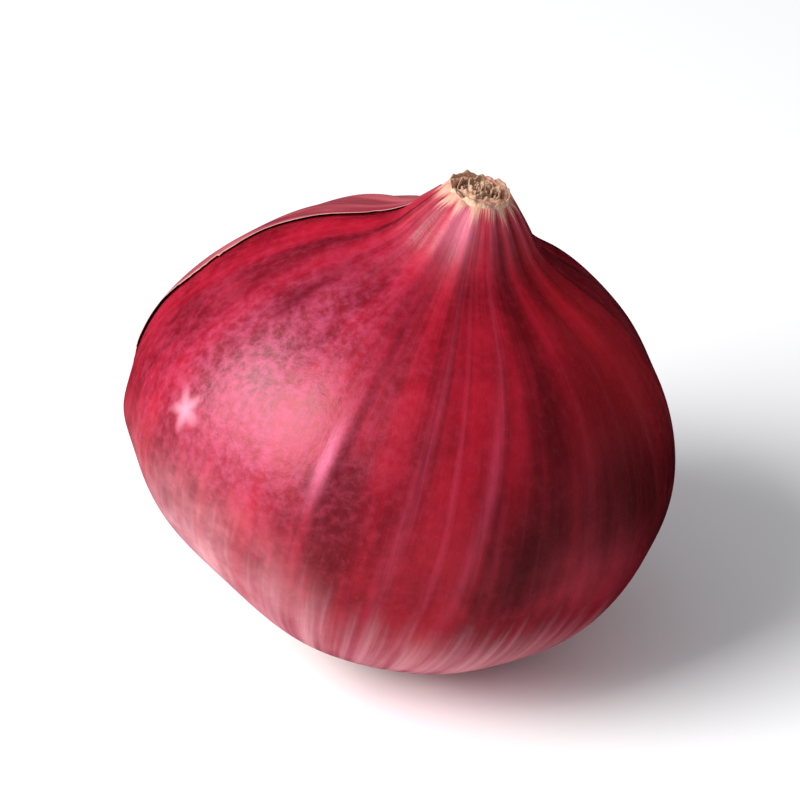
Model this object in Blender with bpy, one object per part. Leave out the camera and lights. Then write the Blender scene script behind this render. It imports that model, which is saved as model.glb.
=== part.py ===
"""One whole pink shallot, picked and dried, lying as it rests on a table.

The bulb grew as one piece, so it is one solid: the round body in its dry skin, the pleated
shoulder that draws up to the neck stub, the dried scale ends in the cut neck, the sunken root
plate and the short dried root stubs. The form is turned about the bulb's own axis, made
lopsided, and then leaned over until it rests on its belly, beside the root plate.

Blender 4.5, metres, +Z up. The front of the bulb faces -Y, and it leans towards +X.
The origin is under the middle of its bounding box, at the table's height.
"""

import math
import random

import bmesh
import bpy
from mathutils import Matrix, Vector

MM = 0.001

# The turned form. Heights run along the bulb's axis, from its widest ring.
FLESH_RADIUS = 19.0 * MM
FLESH_HEIGHT = 17.0 * MM
LOWER_DEPTH = 16.6 * MM
NECK_HEIGHT = 21.8 * MM
NECK_RADIUS = 2.25 * MM
NECK_FLARE = 9.5 * MM
BLEND_POWER = 2.84
BEND_SOFTNESS = 1.9 * MM
BEND_REACH = 2.6 * MM
BEND_STEPS = 5
NUDGE = 0.05 * MM

# How the bulb lies: its lean towards +X, and how high the middle of its widest ring stands.
LEAN = math.radians(14.1)
RING_HEIGHT = 16.2 * MM

# The root plate, a shallow dome sunk in the end of the bulb, and the skin's lip around it.
PLATE_RADIUS = 2.9 * MM
PLATE_SINK = 0.6 * MM
PLATE_DOME = 0.35 * MM
CREASE_WIDTH = 0.3 * MM
LIP_WIDTH = 1.3 * MM
LIP_ROLL = 0.6

# The cut neck's end: each dried scale is a ring with a crest, and a groove inside it.
SCALE_CRESTS = (2.0 * MM, 1.3 * MM, 0.6 * MM)
SCALE_RISES = (0.0, 0.05 * MM, 0.15 * MM)
SCALE_HALF_WALL = 0.2 * MM
GROOVE_DEPTH = 0.7 * MM
SCALE_UNEVENNESS = 0.16 * MM
SCALE_WANDER = 0.45 * MM

# Pleats of the skin, drawn together towards the neck, and the long soft ribs they run into.
PLEATS = 15
PLEAT_DEPTH = 0.2 * MM
PLEAT_START = 7.0 * MM
PLEAT_FULL = 19.0 * MM
PLEAT_WIDE = 7.0 * MM
RIBS = 9
RIB_DEPTH = 0.13 * MM
NECK_OVAL = 0.06
NECK_OVAL_BEARING = math.radians(35)

# Soft swellings and hollows that make the bulb lopsided:
# bearing about the axis from +X, height, spread round it, spread along it, amount outwards.
SWELLINGS = (
    (180, 0.5 * MM, 30, 7.0 * MM, 1.0 * MM),
    (181, -2.4 * MM, 9, 1.6 * MM, 0.45 * MM),
    (192, -12.0 * MM, 50, 4.5 * MM, -1.4 * MM),
    (0, -6.0 * MM, 34, 5.0 * MM, -0.4 * MM),
    (0, -14.0 * MM, 60, 2.6 * MM, -0.5 * MM),
    (10, 6.0 * MM, 40, 6.0 * MM, -0.2 * MM),
    (72, 1.0 * MM, 24, 9.0 * MM, -0.6 * MM),
    (118, -2.0 * MM, 30, 8.0 * MM, 0.4 * MM),
    (262, 2.0 * MM, 36, 8.0 * MM, -0.3 * MM),
)

# Dried roots, trimmed short, standing out of the root plate.
ROOTS = 24
ROOT_SIDES = 5
ROOT_RADIUS = 0.34 * MM
ROOT_TIP_SHARE = 0.5
ROOT_LENGTHS = (1.4 * MM, 2.6 * MM)
ROOT_SUNK = 0.9 * MM
TABLE_GAP = 0.25 * MM
GOLDEN_ANGLE = math.radians(137.5)
ROOT_SEED = 11

TINY_EDGE = 0.01 * MM
SIDES = 108
BODY_RINGS = 32
FINE_STEPS = 400

PINK = (0.44, 0.035, 0.08, 1.0)


def smooth_step(low, high, value):
    t = min(1.0, max(0.0, (value - low) / (high - low)))
    return t * t * (3 - 2 * t)


def blended_radius(height):
    """Two half ellipses and a flared neck, blended, with a bend where the neck leaves the shoulder."""
    neck_base = NECK_RADIUS + NECK_FLARE
    widest = (FLESH_RADIUS**BLEND_POWER + neck_base**BLEND_POWER) ** (1 / BLEND_POWER)
    if height < 0:
        return widest * math.sqrt(max(0.0, 1 - (height / LOWER_DEPTH) ** 2))
    flesh = FLESH_RADIUS * math.sqrt(max(0.0, 1 - (height / FLESH_HEIGHT) ** 2))
    neck = NECK_RADIUS + NECK_FLARE * max(0.0, 1 - (height / NECK_HEIGHT) ** 2)
    return (flesh**BLEND_POWER + neck**BLEND_POWER) ** (1 / BLEND_POWER)


def turned_radius(height):
    """The bulb's radius at a height along its axis, averaged over a short run at the bend to soften it."""
    run = BEND_SOFTNESS * math.exp(-(((height - FLESH_HEIGHT) / BEND_REACH) ** 2))
    if run < TINY_EDGE:
        return blended_radius(height)
    total = 0.0
    for i in range(-BEND_STEPS, BEND_STEPS + 1):
        total += (BEND_STEPS + 1 - abs(i)) * blended_radius(height + run * i / BEND_STEPS)
    return total / (BEND_STEPS + 1) ** 2


def outward(height):
    """The way straight out of the turned form's skin at a height: its share outwards and its share up."""
    at = min(max(height, NUDGE - LOWER_DEPTH), NECK_HEIGHT - NUDGE)
    slope = (turned_radius(at + NUDGE) - turned_radius(at - NUDGE)) / (2 * NUDGE)
    length = math.hypot(1, slope)
    return 1 / length, -slope / length


def underside_height(radius):
    """The height on the underside where the turned form has this radius."""
    return -LOWER_DEPTH * math.sqrt(1 - (radius / turned_radius(0)) ** 2)


def plate_outline():
    """Points (radius, height) from the middle of the root plate to the lip around it."""
    middle = PLATE_SINK - LOWER_DEPTH
    crease = PLATE_RADIUS + CREASE_WIDTH
    lip = crease + 0.4 * LIP_WIDTH
    return [
        (0.0, middle),
        (0.55 * PLATE_RADIUS, middle + 0.3 * PLATE_DOME),
        (PLATE_RADIUS, middle + PLATE_DOME),
        (crease, middle + PLATE_DOME),
        (lip, LIP_ROLL * underside_height(lip) + (1 - LIP_ROLL) * (middle + PLATE_DOME)),
    ]


def body_outline():
    """Points up the skin, evenly spaced along it, from the lip of the root plate to the neck's rim."""
    start = underside_height(PLATE_RADIUS + CREASE_WIDTH + LIP_WIDTH)
    # Equal steps of this angle crowd the heights where the underside is nearly level.
    first = math.asin(start / LOWER_DEPTH)
    fine = []
    for i in range(FINE_STEPS + 1):
        angle = first * (1 - i / FINE_STEPS)
        fine.append((turned_radius(LOWER_DEPTH * math.sin(angle)), LOWER_DEPTH * math.sin(angle)))
    for i in range(1, FINE_STEPS + 1):
        height = (NECK_HEIGHT - SCALE_HALF_WALL) * i / FINE_STEPS
        fine.append((turned_radius(height), height))
    runs = [0.0]
    for a, b in zip(fine, fine[1:]):
        runs.append(runs[-1] + math.dist(a, b))
    outline = []
    for i in range(BODY_RINGS):
        wanted = runs[-1] * i / (BODY_RINGS - 1)
        nearest = min(range(len(runs)), key=lambda k: abs(runs[k] - wanted))
        outline.append(fine[nearest])
    return outline


def neck_outline():
    """Points over the rim of the cut neck, and down and up the dried scales inside it."""
    points = []
    for crest, rise in zip(SCALE_CRESTS, SCALE_RISES):
        top = NECK_HEIGHT + rise
        points.append((crest, top))
        points.append((crest - SCALE_HALF_WALL, top - 0.3 * GROOVE_DEPTH))
        points.append((crest - 1.75 * SCALE_HALF_WALL, top - GROOVE_DEPTH))
    points.append((0.0, NECK_HEIGHT - GROOVE_DEPTH))
    return points


def swelling(bearing, height):
    """How far the skin stands out of the turned form, or in from it."""
    total = 0.0
    for degrees, at, round_spread, along_spread, amount in SWELLINGS:
        away = (math.degrees(bearing) - degrees + 180) % 360 - 180
        total += amount * math.exp(-((away / round_spread) ** 2) - ((height - at) / along_spread) ** 2)
    return total


def pleat(bearing, height):
    """The folds at the neck, unevenly spaced, which fade out over the shoulder.

    They are full depth down to the radius PLEAT_WIDE, and shallower where they crowd together.
    """
    wander = 1.4 * math.sin(2 * bearing + 0.7) + math.sin(3 * bearing)
    fold = math.cos(PLEATS * bearing + wander) + 0.4 * math.cos(9 * bearing + 2 * math.sin(bearing + 1.9))
    grow = smooth_step(PLEAT_START, PLEAT_FULL, height)
    narrow = min(1.0, turned_radius(height) / PLEAT_WIDE)
    return PLEAT_DEPTH * grow * narrow * fold


def rib(bearing, height):
    """Long low ribs from the root plate to the shoulder, strongest round the middle."""
    wave = math.cos(RIBS * bearing + 1.7 * math.sin(bearing + 0.4) + 0.8 * math.sin(2 * bearing))
    rise = smooth_step(-LOWER_DEPTH, -0.4 * LOWER_DEPTH, height)
    fade = 1 - smooth_step(0.3 * NECK_HEIGHT, 0.9 * NECK_HEIGHT, height)
    return RIB_DEPTH * rise * fade * wave


def shaped(point):
    """A point of the turned form, moved to where the lopsided bulb has it."""
    radius = math.hypot(point.x, point.y)
    bearing = math.atan2(point.y, point.x)
    height = point.z
    outer = max(NECK_RADIUS, turned_radius(max(height, -LOWER_DEPTH)))
    on_skin = smooth_step(0.0, 1.0, radius / outer)
    out_share, up_share = outward(height)
    push = on_skin * (swelling(bearing, height) + pleat(bearing, height) + rib(bearing, height))
    moved = radius + out_share * push
    oval = NECK_OVAL * smooth_step(0.6 * NECK_HEIGHT, NECK_HEIGHT, height)
    moved *= 1 + oval * math.cos(2 * (bearing - NECK_OVAL_BEARING))
    ragged = math.sin(3 * bearing + radius / SCALE_WANDER)
    ragged += 0.6 * math.sin(7 * bearing - 1.5 * radius / SCALE_WANDER)
    in_mouth = smooth_step(NECK_HEIGHT - 2 * GROOVE_DEPTH, NECK_HEIGHT, height)
    height += up_share * push + SCALE_UNEVENNESS * in_mouth * ragged * on_skin
    return Vector((moved * math.cos(bearing), moved * math.sin(bearing), height))


def turned_body():
    """The body as one closed mesh, still upright on its axis."""
    outline = plate_outline() + body_outline() + neck_outline()
    bm = bmesh.new()
    points = [bm.verts.new((radius, 0.0, height)) for radius, height in outline]
    edges = [bm.edges.new(pair) for pair in zip(points, points[1:])]
    bmesh.ops.spin(
        bm,
        geom=points + edges,
        cent=(0, 0, 0),
        axis=(0, 0, 1),
        angle=2 * math.pi,
        steps=SIDES,
        use_merge=True,
        use_duplicate=False,
    )
    bmesh.ops.remove_doubles(bm, verts=bm.verts, dist=0.001 * MM)
    for vertex in bm.verts:
        vertex.co = shaped(vertex.co)
    bmesh.ops.recalc_face_normals(bm, faces=bm.faces)
    mesh = bpy.data.meshes.new("bulb")
    bm.to_mesh(mesh)
    bm.free()
    return mesh


def root_stub(number, draw):
    """One dried root: a thin cone out of the root plate, splayed, and worn short over the table."""
    bearing = number * GOLDEN_ANGLE + draw.uniform(-0.2, 0.2)
    out = PLATE_RADIUS * draw.uniform(0.35, 0.82)
    splay = math.radians(30 + 45 * out / PLATE_RADIUS + draw.uniform(-8, 8))
    foot = Vector((out * math.cos(bearing), out * math.sin(bearing), PLATE_SINK - LOWER_DEPTH))
    aside = math.sin(splay)
    along = Vector((aside * math.cos(bearing), aside * math.sin(bearing), -math.cos(splay)))
    lie = Matrix.Rotation(LEAN, 3, "Y")
    room = RING_HEIGHT + (lie @ foot).z - TABLE_GAP - ROOT_RADIUS
    fall = max(0.05, -(lie @ along).z)
    length = min(draw.uniform(*ROOT_LENGTHS), room / fall)
    bm = bmesh.new()
    bmesh.ops.create_cone(
        bm,
        cap_ends=True,
        segments=ROOT_SIDES,
        radius1=ROOT_RADIUS,
        radius2=ROOT_TIP_SHARE * ROOT_RADIUS,
        depth=ROOT_SUNK + length,
        matrix=Matrix.Translation((0, 0, (length - ROOT_SUNK) / 2)),
    )
    turn = Vector((0, 0, 1)).rotation_difference(along).to_matrix().to_4x4()
    bmesh.ops.transform(bm, matrix=Matrix.Translation(foot) @ turn, verts=bm.verts)
    mesh = bpy.data.meshes.new(f"root_{number}")
    bm.to_mesh(mesh)
    bm.free()
    return bpy.data.objects.new(mesh.name, mesh)


def grow_roots(bulb):
    """Joins the root stubs to the bulb in one union, and removes the loose stubs."""
    roots = bpy.data.collections.new("roots")
    bpy.context.scene.collection.children.link(roots)
    draw = random.Random(ROOT_SEED)
    for number in range(ROOTS):
        roots.objects.link(root_stub(number, draw))
    union = bulb.modifiers.new("roots", "BOOLEAN")
    union.operation = "UNION"
    union.operand_type = "COLLECTION"
    union.collection = roots
    graph = bpy.context.evaluated_depsgraph_get()
    joined = bpy.data.meshes.new_from_object(bulb.evaluated_get(graph))
    bulb.modifiers.remove(union)
    bulb.data = joined
    for stub in list(roots.objects):
        bpy.data.objects.remove(stub)
    bpy.data.collections.remove(roots)


def lay_down(mesh):
    """Leans the bulb over and lifts it until its belly just dips below the table's height."""
    mesh.transform(Matrix.Translation((0, 0, RING_HEIGHT)) @ Matrix.Rotation(LEAN, 4, "Y"))


def flatten_rest(mesh):
    """Makes flat, at the table's height, the small spot that the bulb rests on."""
    bm = bmesh.new()
    bm.from_mesh(mesh)
    cut = bmesh.ops.bisect_plane(
        bm,
        geom=bm.verts[:] + bm.edges[:] + bm.faces[:],
        plane_co=(0, 0, 0),
        plane_no=(0, 0, -1),
        clear_outer=True,
    )
    rim = [item for item in cut["geom_cut"] if isinstance(item, bmesh.types.BMEdge)]
    bmesh.ops.holes_fill(bm, edges=rim, sides=0)
    bmesh.ops.remove_doubles(bm, verts=bm.verts, dist=TINY_EDGE)
    bmesh.ops.dissolve_degenerate(bm, dist=TINY_EDGE, edges=bm.edges)
    bmesh.ops.recalc_face_normals(bm, faces=bm.faces)
    bm.to_mesh(mesh)
    bm.free()


def centre(mesh):
    """Puts the middle of the bulb's bounding box over the origin."""
    for axis in (0, 1):
        places = [vertex.co[axis] for vertex in mesh.vertices]
        shift = Vector((0, 0, 0))
        shift[axis] = -(min(places) + max(places)) / 2
        mesh.transform(Matrix.Translation(shift))


def skin_material():
    material = bpy.data.materials.new("pink_skin")
    material.use_nodes = True
    material.diffuse_color = PINK
    surface = material.node_tree.nodes["Principled BSDF"]
    surface.inputs["Base Color"].default_value = PINK
    surface.inputs["Roughness"].default_value = 0.38
    surface.inputs["Metallic"].default_value = 0.0
    return material


def build_bulb():
    bulb = bpy.data.objects.new("bulb", turned_body())
    bpy.context.scene.collection.objects.link(bulb)
    grow_roots(bulb)
    lay_down(bulb.data)
    flatten_rest(bulb.data)
    centre(bulb.data)
    bulb.data.materials.clear()
    bulb.data.materials.append(skin_material())
    bulb.data.shade_smooth()
    bulb.data.set_sharp_from_angle(angle=math.radians(40))


for leftover in list(bpy.data.objects):
    bpy.data.objects.remove(leftover)
build_bulb()
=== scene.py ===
"""A whole pink shallot lying on a pale table, in soft light from the left."""

import math
import random

import bmesh
import bpy
import numpy as np
from mathutils import Matrix, Vector


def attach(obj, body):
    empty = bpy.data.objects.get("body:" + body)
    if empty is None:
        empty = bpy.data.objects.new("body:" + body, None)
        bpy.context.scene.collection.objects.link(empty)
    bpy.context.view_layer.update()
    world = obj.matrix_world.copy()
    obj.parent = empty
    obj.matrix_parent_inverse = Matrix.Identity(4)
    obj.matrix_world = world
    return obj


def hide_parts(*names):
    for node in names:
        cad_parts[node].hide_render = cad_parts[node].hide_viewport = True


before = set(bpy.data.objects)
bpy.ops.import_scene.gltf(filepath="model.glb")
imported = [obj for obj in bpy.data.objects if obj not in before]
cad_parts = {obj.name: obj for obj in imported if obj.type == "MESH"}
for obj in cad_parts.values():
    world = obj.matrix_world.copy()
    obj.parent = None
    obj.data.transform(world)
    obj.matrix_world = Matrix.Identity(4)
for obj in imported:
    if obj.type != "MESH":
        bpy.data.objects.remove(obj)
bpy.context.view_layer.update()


# The bulb in its dry outer skin, thin and papery over firm flesh. It grew from the root plate
# up to the neck, so its veins, ribs and pleats all run from end to end, and the neck was cut
# off short once it had dried.
MM = 0.001
FLESH_RADIUS = 19.0 * MM
FLESH_HEIGHT = 17.0 * MM
LOWER_DEPTH = 16.6 * MM
NECK_HEIGHT = 21.8 * MM
NECK_RADIUS = 2.25 * MM
NECK_FLARE = 9.5 * MM
BLEND_POWER = 2.84
BEND_SOFTNESS = 1.9 * MM
BEND_REACH = 2.6 * MM
BEND_STEPS = 5
LEAN = math.radians(14.1)
RING_HEIGHT = 16.2 * MM

# The neck is slightly oval, and its cut edge ragged.
NECK_OVAL = 0.06
NECK_OVAL_BEARING = math.radians(35)
MOUTH_DEPTH = 1.4 * MM
RAGGED_HEIGHT = 0.16 * MM
RAGGED_LENGTH = 0.45 * MM

# The pleats and fine creases grow from the shoulder towards the neck.
PLEAT_DEPTH = 0.13 * MM
PLEAT_START = 7.0 * MM
PLEAT_FULL = 19.0 * MM
PLEAT_WIDE = 7.0 * MM
CREASE_DEPTH = 0.015 * MM
CREASE_START = 13 * MM
CREASE_FULL = 20 * MM

# Low ribs go all round. One more stands out in front: its bearing and how wide its left and
# right slopes are, in degrees, then how high on the bulb it is and how far it reaches, in mm.
RIB_DEPTH = 0.13 * MM
FRONT_RIB_DEPTH = 0.13 * MM
FRONT_RIB_BEARING = 247.5
FRONT_RIB_LEFT = 11.0
FRONT_RIB_RIGHT = 2.6
FRONT_RIB_MIDDLE = 6.5
FRONT_RIB_REACH = 7.0

# The hollow for the root plate, and the lip of skin round it.
PLATE_SINK = 0.6 * MM
HOLLOW_RISE = 0.35 * MM
HOLLOW_FULL = 2.9
HOLLOW_RADII = (0.0, 1.2, 2.2, 2.7, 2.95, 3.2)
LIP_INNER = 3.42 * MM
LIP_MIDDLE = 3.72 * MM
LIP_OUTER = 4.1 * MM
SKIN_START = 4.5 * MM

# The cut edge of the neck and the floor of its mouth: radius, and height over the neck's, in mm.
MOUTH_OUTLINE = (
    (2.14, 0.02),
    (2.02, 0.06),
    (1.88, 0.0),
    (1.78, -0.25),
    (1.7, -0.6),
    (1.3, -0.8),
    (0.6, -0.85),
    (0.0, -0.85),
)
SKIN_SIDES = 384
SKIN_RINGS = 150
FINE_STEPS = 2000

# Soft swellings: bearing from +X in degrees, height in mm, how wide in degrees, how long in mm,
# and how far out in mm.
SWELLINGS = (
    (180, 0.5, 30, 7.0, 1.0),
    (181, -2.4, 9, 1.6, 0.45),
    (192, -12.0, 50, 4.5, -1.4),
    (0, -6.0, 34, 5.0, -0.4),
    (0, -14.0, 60, 2.6, -0.5),
    (10, 6.0, 40, 6.0, -0.2),
    (72, 1.0, 24, 9.0, -0.6),
    (118, -2.0, 30, 8.0, 0.4),
    (262, 2.0, 36, 8.0, -0.3),
)


def smooth_step(low, high, value):
    t = np.clip((value - low) / (high - low), 0, 1)
    return t * t * (3 - 2 * t)


def blended_radius(height):
    """Two half ellipses and a flared neck, blended, with a bend where the neck leaves the shoulder."""
    widest = (FLESH_RADIUS**BLEND_POWER + (NECK_RADIUS + NECK_FLARE) ** BLEND_POWER) ** (1 / BLEND_POWER)
    lower = widest * np.sqrt(np.clip(1 - (height / LOWER_DEPTH) ** 2, 0, None))
    flesh = FLESH_RADIUS * np.sqrt(np.clip(1 - (height / FLESH_HEIGHT) ** 2, 0, None))
    neck = NECK_RADIUS + NECK_FLARE * np.clip(1 - (height / NECK_HEIGHT) ** 2, 0, None)
    return np.where(height < 0, lower, (flesh**BLEND_POWER + neck**BLEND_POWER) ** (1 / BLEND_POWER))


def turned_radius(height):
    """The bulb's radius at a height along its axis, averaged over a short run at the bend to soften it."""
    run = BEND_SOFTNESS * np.exp(-(((height - FLESH_HEIGHT) / BEND_REACH) ** 2))
    total = 0.0
    for i in range(-BEND_STEPS, BEND_STEPS + 1):
        total = total + (BEND_STEPS + 1 - abs(i)) * blended_radius(height + run * i / BEND_STEPS)
    return total / (BEND_STEPS + 1) ** 2


def outward(height):
    """The way straight out of the turned skin at a height: its share outwards and its share up."""
    nudge = 0.05 * MM
    at = np.clip(height, nudge - LOWER_DEPTH, NECK_HEIGHT - nudge)
    slope = (turned_radius(at + nudge) - turned_radius(at - nudge)) / (2 * nudge)
    length = np.hypot(1, slope)
    return 1 / length, -slope / length


def fold_wave(bearing):
    """The pleats at the neck, from -1.4 in their hollows to 1.4 on their crests."""
    wander = 1.4 * np.sin(2 * bearing + 0.7) + np.sin(3 * bearing)
    return np.cos(15 * bearing + wander) + 0.4 * np.cos(9 * bearing + 2 * np.sin(bearing + 1.9))


def relief(bearing, height):
    """Swellings, pleats, creases and ribs: how far the skin stands out of the turned form."""
    total = np.zeros_like(bearing)
    for degrees, at, wide, long, amount in SWELLINGS:
        aside = (np.degrees(bearing) - degrees + 180) % 360 - 180
        above = height / MM - at
        total += amount * MM * np.exp(-((aside / wide) ** 2) - (above / long) ** 2)
    narrow = np.minimum(1.0, turned_radius(height) / PLEAT_WIDE)
    total += PLEAT_DEPTH * smooth_step(PLEAT_START, PLEAT_FULL, height) * narrow * fold_wave(bearing)
    crease = np.cos(41 * bearing + 3 * np.sin(2 * bearing) + 2 * np.sin(5 * bearing + 1))
    total += CREASE_DEPTH * smooth_step(CREASE_START, CREASE_FULL, height) * narrow * crease
    # The front rib rises gently from the left and drops off on its right.
    aside = (np.degrees(bearing) % 360) - FRONT_RIB_BEARING
    slope = np.exp(-((aside / np.where(aside < 0, FRONT_RIB_LEFT, FRONT_RIB_RIGHT)) ** 2))
    above = height / MM - FRONT_RIB_MIDDLE
    total += FRONT_RIB_DEPTH * slope * np.exp(-((above / FRONT_RIB_REACH) ** 2))
    wave = np.cos(9 * bearing + 1.7 * np.sin(bearing + 0.4) + 0.8 * np.sin(2 * bearing))
    rise = smooth_step(-LOWER_DEPTH, -0.4 * LOWER_DEPTH, height)
    fade = 1 - smooth_step(0.3 * NECK_HEIGHT, 0.9 * NECK_HEIGHT, height)
    total += RIB_DEPTH * rise * fade * wave
    return total


def laid_down(points, shift):
    """Points of the upright bulb, leaned over and set on the table."""
    turn = np.array(Matrix.Rotation(LEAN, 3, "Y"))
    return points @ turn.T + np.array([0, 0, RING_HEIGHT]) + shift


def skin_outline():
    """Points (radius, height) from the middle of the root plate, up the skin and into the neck's mouth."""
    widest = float(turned_radius(np.array(0.0)))
    start, lip = (-LOWER_DEPTH * math.sqrt(1 - (r / widest) ** 2) for r in (SKIN_START, LIP_MIDDLE))
    middle = PLATE_SINK - LOWER_DEPTH
    points = [(r * MM, middle + HOLLOW_RISE * min(1.0, r / HOLLOW_FULL) ** 2) for r in HOLLOW_RADII]
    hollow_edge = points[-1][1]
    lip_foot = 0.6 * lip + 0.4 * hollow_edge
    points.append((LIP_INNER, 0.3 * lip + 0.7 * hollow_edge))
    points.append((LIP_MIDDLE, lip_foot))
    points.append((LIP_OUTER, 0.5 * (start + lip_foot) - 0.06 * MM))
    # The skin's own points are spaced evenly along its curve.
    below = LOWER_DEPTH * np.sin(np.linspace(math.asin(start / LOWER_DEPTH), 0, FINE_STEPS))
    above = np.linspace(0, NECK_HEIGHT - 0.15 * MM, FINE_STEPS)[1:]
    fine_heights = np.concatenate([below, above])
    fine_radii = turned_radius(fine_heights)
    runs = np.concatenate([[0], np.cumsum(np.hypot(np.diff(fine_radii), np.diff(fine_heights)))])
    wanted = np.linspace(0, runs[-1], SKIN_RINGS)
    points += list(zip(np.interp(wanted, runs, fine_radii), np.interp(wanted, runs, fine_heights)))
    return points + [(r * MM, NECK_HEIGHT + h * MM) for r, h in MOUTH_OUTLINE]


def turned_mesh(name, outline, sides):
    """The outline spun once round the axis, as a closed mesh."""
    bm = bmesh.new()
    points = [bm.verts.new((float(r), 0.0, float(h))) for r, h in outline]
    edges = [bm.edges.new(pair) for pair in zip(points, points[1:])]
    bmesh.ops.spin(
        bm,
        geom=points + edges,
        cent=(0, 0, 0),
        axis=(0, 0, 1),
        angle=2 * math.pi,
        steps=sides,
        use_merge=True,
        use_duplicate=False,
    )
    bmesh.ops.remove_doubles(bm, verts=bm.verts, dist=0.0005 * MM)
    bmesh.ops.recalc_face_normals(bm, faces=bm.faces)
    mesh = bpy.data.meshes.new(name)
    bm.to_mesh(mesh)
    bm.free()
    return mesh


def points_of(mesh):
    points = np.zeros(len(mesh.vertices) * 3)
    mesh.vertices.foreach_get("co", points)
    return points.reshape(-1, 3)


def put(mesh, points):
    """Moves the mesh's points to these places."""
    mesh.vertices.foreach_set("co", np.ascontiguousarray(points, dtype=np.float32).ravel())
    mesh.update()
    mesh.shade_smooth()


def note(mesh, name, values):
    """Gives each point of the mesh a number, or a vector, that its material can read."""
    kind, key = ("FLOAT", "value") if values.ndim == 1 else ("FLOAT_VECTOR", "vector")
    attribute = mesh.attributes.new(name, kind, "POINT")
    attribute.data.foreach_set(key, values.astype(np.float32).ravel())


def grow(mesh, lift=0.0):
    """Finds where the grown bulb has each point of a turned mesh, and notes how it grew:
    the cosine and sine of its bearing, and its share of the way from root to neck."""
    places = points_of(mesh)
    radius = np.hypot(places[:, 0], places[:, 1])
    bearing = np.arctan2(places[:, 1], places[:, 0])
    height = places[:, 2]
    outer = np.maximum(NECK_RADIUS, turned_radius(np.maximum(height, -LOWER_DEPTH)))
    on_skin = smooth_step(0.0, 1.0, radius / outer)
    out_share, up_share = outward(height)
    push = on_skin * relief(bearing, height) + lift
    oval = NECK_OVAL * smooth_step(0.6 * NECK_HEIGHT, NECK_HEIGHT, height)
    moved = (radius + out_share * push) * (1 + oval * np.cos(2 * (bearing - NECK_OVAL_BEARING)))
    inwards = radius / RAGGED_LENGTH
    ragged = np.sin(3 * bearing + inwards) + 0.6 * np.sin(7 * bearing - 1.5 * inwards)
    in_mouth = smooth_step(NECK_HEIGHT - MOUTH_DEPTH, NECK_HEIGHT, height)
    risen = height + up_share * push + RAGGED_HEIGHT * in_mouth * ragged * on_skin
    share = (height + LOWER_DEPTH) / (NECK_HEIGHT + LOWER_DEPTH)
    note(mesh, "growth", np.stack([np.cos(bearing), np.sin(bearing), share], axis=1))
    note(mesh, "crest", fold_wave(bearing))
    return np.stack([moved * np.cos(bearing), moved * np.sin(bearing), risen], axis=1)


def made_object(name, mesh):
    made = bpy.data.objects.new(name, mesh)
    bpy.context.scene.collection.objects.link(made)
    return made


# It lies with its box centred over the origin, and settled flat where it touches the table.
skin_mesh = turned_mesh("bulb_skin", skin_outline(), SKIN_SIDES)
upright = grow(skin_mesh)
laid = laid_down(upright, np.zeros(3))
shift = np.array([*(-(laid.min(0) + laid.max(0))[:2] / 2), 0.0])
laid = laid_down(upright, shift)
laid[:, 2] = np.maximum(laid[:, 2], 0)
put(skin_mesh, laid)
bulb_skin = made_object("bulb_skin", skin_mesh)


class Shader:
    """Builds a material's nodes with short calls, and paints its colour in layers."""

    def __init__(self, name):
        self.material = bpy.data.materials.new(name)
        self.material.use_nodes = True
        self.tree = self.material.node_tree
        self.surface = self.tree.nodes["Principled BSDF"]
        self.tint = None

    def wire(self, value, socket):
        if isinstance(value, bpy.types.NodeSocket):
            self.tree.links.new(value, socket)
        else:
            socket.default_value = value

    def node(self, kind, inputs=(), **settings):
        made = self.tree.nodes.new(kind)
        for key, value in settings.items():
            setattr(made, key, value)
        for key, value in dict(inputs).items():
            self.wire(value, made.inputs[key])
        return made

    def noted(self, name):
        """What the mesh notes at each point, as a number and as a vector."""
        made = self.node("ShaderNodeAttribute", attribute_name=name, attribute_type="GEOMETRY")
        return made.outputs["Fac"], made.outputs["Vector"]

    def place(self):
        return self.node("ShaderNodeTexCoord").outputs["Object"]

    def math(self, operation, a, b=0.0, c=0.0):
        return self.node("ShaderNodeMath", {0: a, 1: b, 2: c}, operation=operation).outputs[0]

    def times(self, *values):
        product = values[0]
        for value in values[1:]:
            product = self.math("MULTIPLY", product, value)
        return product

    def span(self, value, low, high, to_low=0.0, to_high=1.0):
        """The value eased from one range to another, the first of which may run downwards."""
        if low > high:
            low, high, to_low, to_high = high, low, to_high, to_low
        made = self.node(
            "ShaderNodeMapRange",
            {"Value": value, "From Min": low, "From Max": high, "To Min": to_low, "To Max": to_high},
            interpolation_type="SMOOTHSTEP",
        )
        return made.outputs["Result"]

    def mix(self, share, a, b):
        made = self.node("ShaderNodeMix", data_type="RGBA")
        self.wire(share, made.inputs["Factor"])
        self.wire(a, made.inputs["A"])
        self.wire(b, made.inputs["B"])
        return made.outputs["Result"]

    def noise(self, vector, scale, detail, roughness):
        made = self.node(
            "ShaderNodeTexNoise",
            {"Vector": vector, "Scale": scale, "Detail": detail, "Roughness": roughness},
        )
        return made.outputs["Fac"]

    def streaked(self, growth, around, along, detail, roughness):
        """Noise drawn out the way the skin grew: finer around the bulb than along it."""
        scale = (around, around, along)
        made = self.node("ShaderNodeVectorMath", {0: growth, 1: scale}, operation="MULTIPLY")
        return self.noise(made.outputs[0], 1.0, detail, roughness)

    def paint(self, colour, *shares):
        """Lays a colour over what is painted so far, by the product of the shares."""
        self.tint = self.mix(self.times(*shares), self.tint, colour)

    def finish(self, roughness, height, strength, distance):
        """Gives the surface the painted colour, its roughness and its bump."""
        self.wire(self.tint, self.surface.inputs["Base Color"])
        self.wire(roughness, self.surface.inputs["Roughness"])
        bump = self.node(
            "ShaderNodeBump",
            {"Strength": strength, "Distance": distance, "Height": height},
        )
        self.wire(bump.outputs["Normal"], self.surface.inputs["Normal"])


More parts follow.
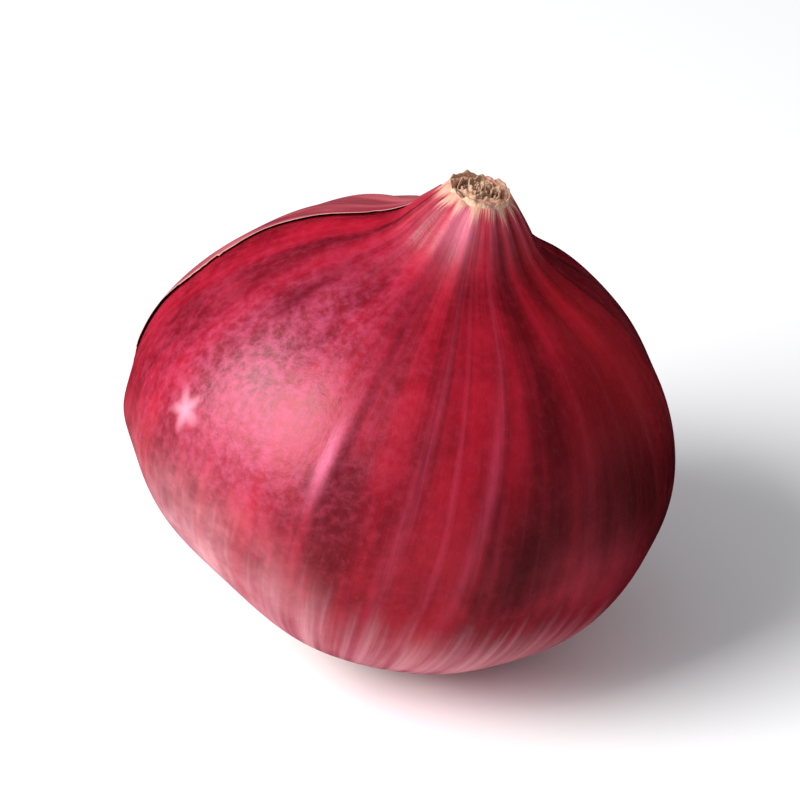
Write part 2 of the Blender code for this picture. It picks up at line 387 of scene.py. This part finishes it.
def srgb(red, green, blue):
    """A colour given as it shows on a screen, from 0 to 255."""
    shown = (c / 255 for c in (red, green, blue))
    return (*(c / 12.92 if c <= 0.04 else ((c + 0.055) / 1.055) ** 2.4 for c in shown), 1.0)


skin = Shader("pink_skin")
growth = skin.noted("growth")[1]
crest = skin.noted("crest")[0]
place = skin.place()
split = skin.node("ShaderNodeSeparateXYZ", {0: growth})
along = split.outputs["Z"]
bearing = skin.math("ARCTAN2", split.outputs["Y"], split.outputs["X"])
degrees = skin.math("WRAP", skin.math("DEGREES", bearing), 360.0, 0.0)


def mark(at, share, wide, long, slant=0.0):
    """A soft mark at a bearing in degrees and a share from root to neck, slanting if asked."""
    up = skin.math("SUBTRACT", along, share)
    side = skin.math("SUBTRACT", skin.math("MULTIPLY_ADD", up, -slant, degrees), at)
    side = skin.math("POWER", skin.math("ABSOLUTE", skin.math("DIVIDE", side, wide)), 2.0)
    up = skin.math("POWER", skin.math("ABSOLUTE", skin.math("DIVIDE", up, long)), 2.0)
    return skin.math("EXPONENT", skin.times(skin.math("ADD", side, up), -1.0))


# Long streaks of deeper and lighter colour run the way the skin grew, from maroon to crimson.
streaks = skin.streaked(growth, 4.0, 1.0, 5.0, 0.6)
fine_streaks = skin.streaked(growth, 24.0, 2.4, 4.0, 0.6)
blotches = skin.noise(place, 150.0, 4.0, 0.6)
grain = skin.noise(place, 1300.0, 3.0, 0.65)
speckle = skin.math("ADD", grain, blotches)
depth = skin.math("MULTIPLY_ADD", blotches, 0.5, skin.times(fine_streaks, 0.2))
depth = skin.math("MULTIPLY_ADD", streaks, 0.6, depth)
skin.tint = skin.mix(skin.span(depth, 0.5, 0.82), srgb(94, 0, 12), srgb(162, 4, 34))
skin.paint(srgb(178, 16, 52), skin.span(grain, 0.45, 0.8, 0.0, 0.28))

# The right-hand side is darkest, as painted shade on the side away from the lamp, with deeper
# maroon streaks over the middle of the front and a narrow dark streak slanting across it. The
# shoulder over it is a redder crimson, as painted light falling from above. On the left-hand
# side lies a mauve dusty bloom, partly the skin's own and partly painted sheen where the lamp
# falls, and over that a painted sheen where the lamp shines.
shaded = skin.times(mark(319, 0.54, 36, 0.24), skin.span(streaks, 0.3, 0.62, 1.0, 0.6))
skin.paint(srgb(70, 0, 6), shaded, 0.85)
skin.paint(srgb(52, 0, 4), mark(294, 0.48, 6, 0.09, 20), 0.7)
skin.paint(srgb(92, 0, 16), mark(275, 0.58, 17, 0.2), skin.span(streaks, 0.3, 0.6, 0.6, 0.1))
# More painted shade on the right-hand side.
skin.paint(srgb(46, 0, 4), mark(325, 0.62, 16, 0.15), 0.7)
# Painted light from above on the upper right shoulder.
skin.paint(srgb(188, 2, 26), mark(338, 0.8, 24, 0.16), 0.55)
# A mauve bloom on the left, partly the skin's own and partly painted sheen.
skin.paint(srgb(160, 54, 84), mark(212, 0.64, 34, 0.26), skin.span(speckle, 0.7, 1.3, 0.1, 0.6))
# A painted sheen where the lamp shines on the left-hand side.
skin.paint(srgb(184, 74, 112), mark(225, 0.64, 21, 0.17), skin.span(grain, 0.3, 0.75, 0.05, 0.7))

# Veins, soft and paler than the skin, some strong and some hardly there, and finer hairs between.
warp = skin.streaked(growth, 1.6, 1.1, 2.0, 0.5)


def wave_round(count, wander, start):
    """A wave with a whole number of crests round the bulb, bent as the veins are."""
    bent = skin.math("MULTIPLY_ADD", warp, wander, start)
    return skin.math("COSINE", skin.math("MULTIPLY_ADD", bearing, count, bent))


vein_wave = wave_round(29.0, 9.0, 0.4)
vein_strength = skin.span(skin.streaked(growth, 3.4, 1.2, 2.0, 0.5), 0.46, 0.66)
veins = skin.times(skin.span(vein_wave, 0.7, 1.0), skin.times(vein_strength, 0.5))
for at, wide, slant in ((267, 1.5, 6), (283.5, 1.6, 14)):
    veins = skin.math("MAXIMUM", veins, skin.times(mark(at, 0.6, wide, 0.25, slant), 1.3))
# The veins fade into the painted shade on the right-hand side.
veins = skin.times(veins, skin.math("MULTIPLY_ADD", shaded, -0.8, 1.0))
hair_wave = wave_round(83.0, 16.0, 1.3)
hairs = skin.times(skin.span(hair_wave, 0.8, 1.0), skin.span(fine_streaks, 0.42, 0.68))
skin.paint(srgb(186, 58, 88), veins, skin.span(fine_streaks, 0.3, 0.6, 0.12, 0.36))
skin.paint(srgb(180, 50, 84), hairs, 0.05)

# A pale scuff like a star, with five points. Aside and above are in mm from its middle.
aside = skin.times(skin.math("SUBTRACT", degrees, 209.0), 0.353)
above = skin.times(skin.math("SUBTRACT", along, 0.533), 38.0)
away = skin.math("SQRT", skin.math("ADD", skin.times(aside, aside), skin.times(above, above)))
turned = skin.math("ARCTAN2", above, aside)
points = skin.math("COSINE", skin.math("MULTIPLY_ADD", turned, 5.0, 0.7))
reach = skin.math("MULTIPLY_ADD", blotches, 1.2, skin.math("MULTIPLY_ADD", points, 0.26, 0.5))
skin.paint(srgb(232, 156, 176), skin.span(skin.math("DIVIDE", away, reach), 1.5, 0.0), 0.6)

# Two bruises at the upper left, and along the front rib a painted highlight on its left slope and
# painted shade at its right edge.
skin.paint(srgb(88, 2, 22), mark(209.5, 0.785, 2.6, 0.05), 0.8)
skin.paint(srgb(104, 6, 26), mark(192, 0.74, 4.0, 0.06), 0.5)
# A painted highlight and painted shade beside the front rib.
skin.paint(srgb(228, 118, 156), mark(246.0, 0.6, 1.5, 0.07), 0.5)
skin.paint(srgb(92, 2, 24), mark(249.4, 0.66, 1.2, 0.11), 0.5)

# The skin pales towards the root, partly its own colour and partly painted light bounced up from
# the table. Its fibres and veins show there, and it browns at the lip.
root_end = skin.math("MULTIPLY_ADD", fine_streaks, 0.18, skin.math("MULTIPLY_ADD", streaks, 0.2, along))
root_end = skin.math("MULTIPLY_ADD", blotches, 0.12, root_end)
# Paler towards the root: its own colour and painted bounce light.
pale = skin.span(root_end, 0.62, 0.35)
root_fibre = skin.streaked(growth, 34.0, 1.5, 4.0, 0.65)
root_band = skin.streaked(growth, 7.0, 0.9, 3.0, 0.6)
root_mottle = skin.math("MULTIPLY_ADD", root_fibre, 0.8, root_band)
root_mottle = skin.math("MULTIPLY_ADD", blotches, 0.7, root_mottle)
pale_tone = skin.mix(skin.span(root_mottle, 1.0, 1.5), srgb(204, 98, 120), srgb(240, 164, 174))
skin.paint(pale_tone, pale, skin.span(root_band, 0.36, 0.6, 0.7, 0.86))
root_veins = skin.times(skin.span(vein_wave, 0.82, 1.0), skin.span(root_fibre, 0.4, 0.6, 0.15, 0.6))
skin.paint(srgb(160, 40, 66), root_veins, pale)
skin.paint(srgb(168, 112, 92), skin.span(along, 0.075, 0.02), skin.span(root_fibre, 0.35, 0.6, 0.3, 0.9))

# Its belly is palest at the lower left, as painted light bounced up from the table, with pale
# streaks there that are partly wear and partly that painted light, and it is redder at the lower
# right.
worn_and_bounce = skin.span(skin.math("ADD", fine_streaks, blotches), 0.86, 1.2)
# Painted bounce light at the lower left.
skin.paint(srgb(232, 178, 186), mark(215, 0.29, 24, 0.11), skin.span(blotches, 0.3, 0.7, 0.2, 0.58))
skin.paint(srgb(186, 46, 68), mark(313, 0.42, 14, 0.09), skin.span(blotches, 0.3, 0.7, 0.3, 0.6))
skin.paint(srgb(236, 184, 190), mark(222, 0.27, 20, 0.09), worn_and_bounce, 0.35)

# Round the neck the drawn-up skin shows pink streaks, most of all in front, partly its own colour
# and partly a painted highlight on the crests of the pleats and on the front of the neck.
neck_streaks = skin.streaked(growth, 8.0, 1.6, 3.0, 0.55)
drawn = skin.math("MULTIPLY_ADD", crest, 0.06, skin.times(neck_streaks, 0.7))
drawn = skin.math("MULTIPLY_ADD", blotches, 0.3, drawn)
pink_neck = skin.times(skin.span(drawn, 0.34, 0.7, 0.1, 1.0), skin.span(along, 0.86, 1.0, 0.0, 0.4))
# A painted highlight on the front of the neck.
pink_neck = skin.math("MAXIMUM", pink_neck, mark(255, 0.965, 20, 0.055))
skin.paint(srgb(226, 128, 152), pink_neck, skin.span(drawn, 0.3, 0.6, 0.25, 0.64))

# It dries to straw and brown at the cut neck, in a ragged line.
dry_line = skin.math("MULTIPLY_ADD", fine_streaks, 0.09, skin.math("MULTIPLY_ADD", crest, 0.008, along))
skin.paint(srgb(222, 168, 146), skin.span(dry_line, 1.016, 1.046), 0.9)
skin.paint(srgb(138, 108, 78), skin.span(dry_line, 1.036, 1.056), 0.6)

ups = skin.math("MULTIPLY_ADD", fine_streaks, 0.8, skin.times(grain, 1.5))
ups = skin.math("MULTIPLY_ADD", veins, 0.6, ups)
skin.finish(skin.span(speckle, 0.7, 1.3, 0.36, 0.48), ups, 0.3, 0.0001)
skin.surface.inputs["Specular IOR Level"].default_value = 0.3
skin_mesh.materials.append(skin.material)
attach(bulb_skin, "root")
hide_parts("bulb")


# A loose sheet of the outermost skin, as thin as paper and dried paler than the skin under it.
# It has come away from the back and the left shoulder, is torn along its edges, and still
# hangs on at the neck.
SHEET_COLUMNS = 230
SHEET_ROWS = 120
SHEET_THICKNESS = 0.05 * MM
SHEET_GAP = 0.03 * MM

# As shares of the way from root to neck: where it hangs on, the lowest that it could reach,
# and the level of its first tear and of its usual ones.
SHEET_TOP = 0.965
SHEET_FOOT = 0.22
FIRST_TEAR = 0.42
USUAL_TEAR = 0.43


def torn_ends(chance):
    """Where each column of the sheet ends: it tears into strips along the veins, cut off at a slant."""
    ends = []
    level = FIRST_TEAR
    while len(ends) <= SHEET_COLUMNS:
        width = chance.choice((3, 5, 8, 13, 19))
        level += chance.uniform(-0.055, 0.055) + 0.25 * (USUAL_TEAR - level)
        slant = chance.uniform(-0.005, 0.005)
        ends += [level + slant * i + chance.uniform(-0.002, 0.002) for i in range(width)]
    return np.array(ends[: SHEET_COLUMNS + 1])


def nicked_side(chance):
    """How far, in degrees, the sheet's side wanders off its vein, with small nicks."""
    wander = [0.0]
    while len(wander) <= SHEET_ROWS:
        step = chance.uniform(-0.35, 0.35) if chance.random() > 0.12 else chance.uniform(-1.6, 1.6)
        wander.append(0.93 * wander[-1] + step)
    return np.array(wander[: SHEET_ROWS + 1])


def flat_sheet():
    """A flat sheet, one unit wide and high, with a second layer one unit over it."""
    bm = bmesh.new()
    bmesh.ops.create_grid(bm, x_segments=SHEET_COLUMNS, y_segments=SHEET_ROWS, size=0.5)
    over = bmesh.ops.extrude_face_region(bm, geom=bm.faces[:], use_keep_orig=True)["geom"]
    bmesh.ops.translate(bm, vec=(0, 0, 1), verts=[v for v in over if isinstance(v, bmesh.types.BMVert)])
    mesh = bpy.data.meshes.new("loose_skin")
    bm.to_mesh(mesh)
    bm.free()
    return mesh


def loose_sheet():
    """The sheet wrapped round the bulb, lifted a little and torn."""
    chance = random.Random(14)
    mesh = flat_sheet()
    across, up, outer_side = (points_of(mesh) + np.array([0.5, 0.5, 0.0])).T
    columns = np.linspace(0, 1, SHEET_COLUMNS + 1)
    rows = np.linspace(0, 1, SHEET_ROWS + 1)
    bottom = np.interp(across, columns, torn_ends(chance)) - 0.11 * np.cos(across * 5.2 - 0.4)
    share = np.maximum(bottom, SHEET_FOOT + (SHEET_TOP - SHEET_FOOT) * up)
    front = 168 - 16 * smooth_step(0.6, 0.95, share)
    back = 66 + 5 * share
    nicks = np.interp(up, rows, nicked_side(chance)) * np.exp(-across / 0.03)
    nicks = nicks - 1.6 * np.interp(up, rows, nicked_side(chance)) * np.exp((across - 1) / 0.05)
    bearing = np.radians(front + (back - front) * across + nicks)
    height = share * (NECK_HEIGHT + LOWER_DEPTH) - LOWER_DEPTH
    radius = turned_radius(height)
    wrapped = np.stack([radius * np.cos(bearing), radius * np.sin(bearing), height], axis=1)
    mesh.vertices.foreach_set("co", wrapped.astype(np.float32).ravel())
    # It curls up at its edges, ripples, and lies close to the skin at the neck.
    to_side = np.minimum(across, 1 - across)
    to_end = share - bottom
    curl = np.exp(-to_side / 0.035) + 1.3 * np.exp(-to_end / 0.035)
    ripple = 0.5 + 0.5 * np.sin(bearing * 7 + 5 * share) * np.sin(share * 21 + bearing * 2)
    loose = 0.07 + 0.04 * ripple + 0.1 * curl * (0.45 + 0.55 * ripple)
    lift = loose * MM * smooth_step(SHEET_TOP, 0.86, share)
    grown = grow(mesh, lift + SHEET_GAP + SHEET_THICKNESS * outer_side)
    note(mesh, "rim", np.maximum(np.exp(-to_side / 0.01), np.exp(-to_end / 0.014)))
    put(mesh, laid_down(grown, shift))
    bm = bmesh.new()
    bm.from_mesh(mesh)
    bmesh.ops.remove_doubles(bm, verts=bm.verts, dist=0.002 * MM)
    bmesh.ops.recalc_face_normals(bm, faces=bm.faces)
    bm.to_mesh(mesh)
    bm.free()
    return mesh


sheet_mesh = loose_sheet()
loose_skin = made_object("loose_skin", sheet_mesh)
sheet = Shader("papery_skin")
growth = sheet.noted("growth")[1]
rim = sheet.noted("rim")[0]
fibres = sheet.streaked(growth, 30.0, 2.0, 5.0, 0.65)
clouds = sheet.streaked(growth, 3.4, 2.6, 5.0, 0.65)
sheet.tint = sheet.mix(sheet.span(clouds, 0.4, 0.62), srgb(138, 28, 50), srgb(178, 80, 90))
sheet.paint(srgb(206, 138, 130), sheet.span(fibres, 0.48, 0.74, 0.0, 0.5))
sheet.paint(srgb(226, 176, 164), rim, 0.5)
sheet.finish(sheet.span(fibres, 0.3, 0.7, 0.42, 0.6), fibres, 0.5, 0.0001)
sheet_mesh.materials.append(sheet.material)
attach(loose_skin, "root")
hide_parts("bulb")


# The ends of the dry scales that fill the cut neck, one inside the other. They are brittle
# and straw-coloured, with brown edges that crumbled as they dried.
RING_SIDES = 150
RING_ROWS = 7
SCALE_THICKNESS = 0.09 * MM
SCALE_RINGS = (
    # radius, foot and top measured from the neck's height, wave, all in mm
    (2.36, -1.7, 0.16, 0.05),
    (1.74, -1.1, 0.22, 0.10),
    (1.36, -1.0, 0.02, 0.12),
    (0.98, -1.0, 0.26, 0.11),
    (0.60, -1.0, 0.10, 0.09),
    (0.26, -1.0, 0.30, 0.05),
)

# How far each wave goes, and how many times it runs round: in the top edge, in mm, and in the
# ring, as a part of the ring's own wave.
CRUMBLED_EDGE = ((0.11, 5), (0.09, 11), (0.06, 23))
CRINKLED_RING = ((1.0, 3), (0.7, 6), (0.4, 13))


def waves(kinds, phases, bearing):
    return sum(size * math.sin(count * bearing + phase) for (size, count), phase in zip(kinds, phases))


def scale_rings():
    chance = random.Random(5)
    bm = bmesh.new()
    layer = bm.verts.layers.float_vector.new("growth")
    for number, (radius, foot, top, wave) in enumerate(SCALE_RINGS):
        made = bmesh.ops.create_circle(bm, segments=RING_SIDES, radius=1.0)
        rows = [made["verts"]]
        edges = list({e for v in made["verts"] for e in v.link_edges})
        for _ in range(RING_ROWS):
            out = bmesh.ops.extrude_edge_only(bm, edges=edges)["geom"]
            rows.append([g for g in out if isinstance(g, bmesh.types.BMVert)])
            edges = [g for g in out if isinstance(g, bmesh.types.BMEdge)]
        phases = [chance.uniform(0, 6.28) for _ in range(6)]
        for row, verts in enumerate(rows):
            share = row / RING_ROWS
            for v in verts:
                b = math.atan2(v.co.y, v.co.x)
                # Each ring but the outermost closes in a little towards its top.
                r = radius * (1 - 0.07 * share * (number > 0))
                r += wave * waves(CRINKLED_RING, phases[3:], b) * (0.5 + 0.5 * share)
                h = foot + (top - foot + waves(CRUMBLED_EDGE, phases[:3], b)) * share
                v.co = Vector((r * math.cos(b), r * math.sin(b), h)) * MM
                v[layer] = (math.cos(b) + number, math.sin(b), share)
    bmesh.ops.recalc_face_normals(bm, faces=bm.faces)
    bmesh.ops.solidify(bm, geom=bm.faces[:], thickness=SCALE_THICKNESS)
    mesh = bpy.data.meshes.new("neck_scales")
    bm.to_mesh(mesh)
    bm.free()
    put(mesh, laid_down(points_of(mesh) + np.array([0, 0, NECK_HEIGHT]), shift))
    return mesh


ring_mesh = scale_rings()
neck_scales = made_object("neck_scales", ring_mesh)
straw = Shader("dry_straw")
growth = straw.noted("growth")[1]
fibres = straw.streaked(growth, 14.0, 1.2, 4.0, 0.6)
patches = straw.noise(straw.place(), 900.0, 3.0, 0.6)
tip = straw.node("ShaderNodeSeparateXYZ", {0: growth}).outputs["Z"]
straw.tint = straw.mix(straw.span(fibres, 0.35, 0.65), srgb(190, 146, 116), srgb(230, 196, 166))
browned = straw.math("MULTIPLY_ADD", patches, 0.5, straw.math("MULTIPLY_ADD", fibres, 0.3, tip))
straw.paint(srgb(156, 116, 92), straw.span(browned, 1.1, 1.55))
straw.finish(straw.span(patches, 0.3, 0.7, 0.65, 0.85), fibres, 0.6, 0.0001)
ring_mesh.materials.append(straw.material)
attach(neck_scales, "root")
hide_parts("bulb")


# The root plate, a corky brown disc of dried stem that the roots grew from. It sits in the
# hollow at the bottom of the bulb, a little sunk inside the lip of skin.
PLATE_SIDES = 130
PLATE_KNOBS = 0.09 * MM
TABLE_GAP = 0.04 * MM

# Its inner face and its edge: radius, and height over the hollow's middle, in mm. The face that
# shows is domed, and its dome starts at the last height and reaches down by the dome's depth.
PLATE_OUTLINE = ((0.0, 0.75), (2.3, 0.8), (2.7, 0.62), (2.86, 0.42), (2.8, 0.24))
DOME_RADIUS = 2.7
DOME_DEPTH = 0.5
DOME_ANGLES = np.linspace(0.12, math.pi / 2, 26)


def plate():
    middle = (PLATE_SINK - LOWER_DEPTH) / MM
    top = PLATE_OUTLINE[-1][1]
    outline = list(PLATE_OUTLINE)
    outline += [(DOME_RADIUS * math.cos(a), top - DOME_DEPTH * math.sin(a)) for a in DOME_ANGLES]
    mesh = turned_mesh("root_plate", [(r * MM, (middle + h) * MM) for r, h in outline], PLATE_SIDES)
    points = points_of(mesh)
    b = np.arctan2(points[:, 1], points[:, 0])
    r = np.hypot(points[:, 0], points[:, 1]) / MM
    knobs = np.sin(9 * b + 2 * r) * np.sin(5.1 * r + 3 * np.sin(2 * b))
    knobs = knobs + 0.6 * np.sin(17 * b - 4 * r) * np.sin(8 * r)
    points[:, 2] += PLATE_KNOBS * knobs * smooth_step(2.9, 2.2, r) * smooth_step(0.0, 0.5, r)
    laid = laid_down(points, shift)
    laid[:, 2] = np.maximum(laid[:, 2], TABLE_GAP)
    put(mesh, laid)
    return mesh


plate_mesh = plate()
root_plate = made_object("root_plate", plate_mesh)
cork = Shader("corky_plate")
place = cork.place()
crumbs = cork.noise(place, 1500.0, 5.0, 0.7)
patches = cork.noise(place, 420.0, 3.0, 0.6)
cork.tint = cork.mix(cork.span(crumbs, 0.35, 0.68), srgb(84, 56, 40), srgb(176, 136, 98))
cork.paint(srgb(206, 178, 140), cork.span(patches, 0.5, 0.7, 0.0, 0.6))
cork.finish(cork.span(crumbs, 0.3, 0.7, 0.75, 0.95), crumbs, 0.8, 0.0002)
plate_mesh.materials.append(cork.material)
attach(root_plate, "root")
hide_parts("bulb")


# The roots, trimmed short and dried to stiff, curled fibres. They spring from the whole of
# the plate and splay outwards, and where the table is close they lie along it.
ROOT_COUNT = 64
ROOT_SIDES = 7
ROOT_STEPS = 9
ROOT_SPREAD = 2.55 * MM
ROOT_SUNK = 0.1 * MM
ROOT_TAPER = 0.55
ROOT_CURL = 0.2
ROOT_CLEARANCE = 0.05 * MM

# Each root stands this much further round than the last, in radians, so that they fill the plate.
GOLDEN_TURN = 2.39996


def root_fibres():
    chance = random.Random(23)
    bm = bmesh.new()
    layer = bm.verts.layers.float_vector.new("growth")
    foot_height = PLATE_SINK - LOWER_DEPTH + ROOT_SUNK
    turn = Matrix.Rotation(LEAN, 4, "Y")
    for number in range(ROOT_COUNT):
        out = ROOT_SPREAD * math.sqrt((number + 0.6) / ROOT_COUNT)
        b = number * GOLDEN_TURN + chance.uniform(-0.2, 0.2)
        splay = math.radians(18 + 50 * out / ROOT_SPREAD + chance.uniform(-12, 12))
        side = Vector((math.cos(b), math.sin(b), 0))
        foot = side * out + Vector((0, 0, foot_height))
        heading = side * math.sin(splay) - Vector((0, 0, 1)) * math.cos(splay)
        length = chance.uniform(1.2, 2.9) * MM
        thick = chance.uniform(0.13, 0.22) * MM
        curl = Vector([chance.uniform(-1, 1) for _ in range(3)])
        spot = turn @ foot + Vector((shift[0], shift[1], RING_HEIGHT))
        way = turn @ heading
        ring = bmesh.ops.create_circle(bm, segments=ROOT_SIDES, radius=thick, cap_ends=True)["verts"]
        face = ring[0].link_faces[0]
        tilt = Vector((0, 0, 1)).rotation_difference(way).to_matrix().to_4x4()
        bmesh.ops.transform(bm, matrix=Matrix.Translation(spot) @ tilt, verts=ring)
        for v in ring:
            v[layer] = (number, 0.0, 0.0)
        for step in range(1, ROOT_STEPS + 1):
            before = way.copy()
            way = (way + ROOT_CURL * curl * (step / ROOT_STEPS)).normalized()
            ahead = spot + way * (length / ROOT_STEPS)
            least = ROOT_CLEARANCE + thick
            if ahead.z < least:
                ahead.z = least
                way = (ahead - spot).normalized()
            face = bmesh.ops.extrude_discrete_faces(bm, faces=[face])["faces"][0]
            swing = before.rotation_difference(way).to_matrix().to_4x4()
            narrow = (1 - ROOT_TAPER * step / ROOT_STEPS) / (1 - ROOT_TAPER * (step - 1) / ROOT_STEPS)
            size = Matrix.Diagonal((narrow, narrow, narrow, 1))
            move = Matrix.Translation(ahead) @ swing @ size @ Matrix.Translation(-spot)
            bmesh.ops.transform(bm, matrix=move, verts=face.verts[:])
            for v in face.verts:
                v[layer] = (number, 0.0, step / ROOT_STEPS)
            spot = ahead
    bmesh.ops.recalc_face_normals(bm, faces=bm.faces)
    mesh = bpy.data.meshes.new("root_fibres")
    bm.to_mesh(mesh)
    bm.free()
    mesh.shade_smooth()
    return mesh


fibre_mesh = root_fibres()
root_stubs = made_object("root_stubs", fibre_mesh)
fibre = Shader("dried_root")
tone = fibre.streaked(fibre.noted("growth")[1], 3.7, 1.6, 2.0, 0.6)
wrinkles = fibre.noise(fibre.place(), 2600.0, 3.0, 0.6)
fibre.tint = fibre.mix(fibre.span(tone, 0.3, 0.7), srgb(112, 80, 54), srgb(204, 172, 132))
fibre.paint(srgb(92, 64, 44), fibre.span(wrinkles, 0.4, 0.7, 0.0, 0.5))
fibre.finish(fibre.span(wrinkles, 0.3, 0.7, 0.7, 0.9), wrinkles, 0.6, 0.0001)
fibre_mesh.materials.append(fibre.material)
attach(root_stubs, "root")
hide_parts("bulb")


# The camera looks down on the bulb by 30 degrees, as in the photo, from far enough away
# that the sides hardly narrow.
CAMERA_DISTANCE = 0.38
CAMERA_LENS = 226
target = Vector((0.0, 0.0, 0.0194))
down = math.radians(30)
camera = bpy.data.objects.new("camera", bpy.data.cameras.new("camera"))
camera.data.lens = CAMERA_LENS
camera.location = target + CAMERA_DISTANCE * Vector((0, -math.cos(down), math.sin(down)))
camera.rotation_euler = (math.pi / 2 - down, 0, 0)
bpy.context.scene.collection.objects.link(camera)
bpy.context.scene.camera = camera


# A pale table top, painted matt, that the bulb lies on. It doesn't show in the gloss of the
# bulb's skin.
bm = bmesh.new()
bmesh.ops.create_grid(bm, x_segments=8, y_segments=8, size=1.5)
floor_mesh = bpy.data.meshes.new("table_top")
bm.to_mesh(floor_mesh)
bm.free()
table_top = made_object("table_top", floor_mesh)
paint = Shader("pale_table")
paint.surface.inputs["Base Color"].default_value = (0.86, 0.86, 0.86, 1.0)
paint.surface.inputs["Roughness"].default_value = 0.7
floor_mesh.materials.append(paint.material)
table_top.visible_glossy = False


# One large soft lamp from the left and above, in a pale room. The room and the table light the
# bulb evenly, but only the lamp shows in the gloss of the skin.
def soft_lamp(name, place, side, power):
    lamp = bpy.data.objects.new(name, bpy.data.lights.new(name, "AREA"))
    lamp.data.shape = "SQUARE"
    lamp.data.size = side
    lamp.data.energy = power
    lamp.location = place
    lamp.rotation_mode = "QUATERNION"
    lamp.rotation_quaternion = (Vector(place) - target).to_track_quat("Z", "Y")
    bpy.context.scene.collection.objects.link(lamp)


soft_lamp("key", (-0.37, -0.17, 0.32), 0.34, 4.8)
room = bpy.data.worlds.new("room")
room.use_nodes = True
room.node_tree.nodes["Background"].inputs["Color"].default_value = (0.95, 0.96, 1.0, 1.0)
room.node_tree.nodes["Background"].inputs["Strength"].default_value = 0.5
room.cycles_visibility.glossy = False
bpy.context.scene.world = room
bpy.context.scene.view_settings.view_transform = "Standard"
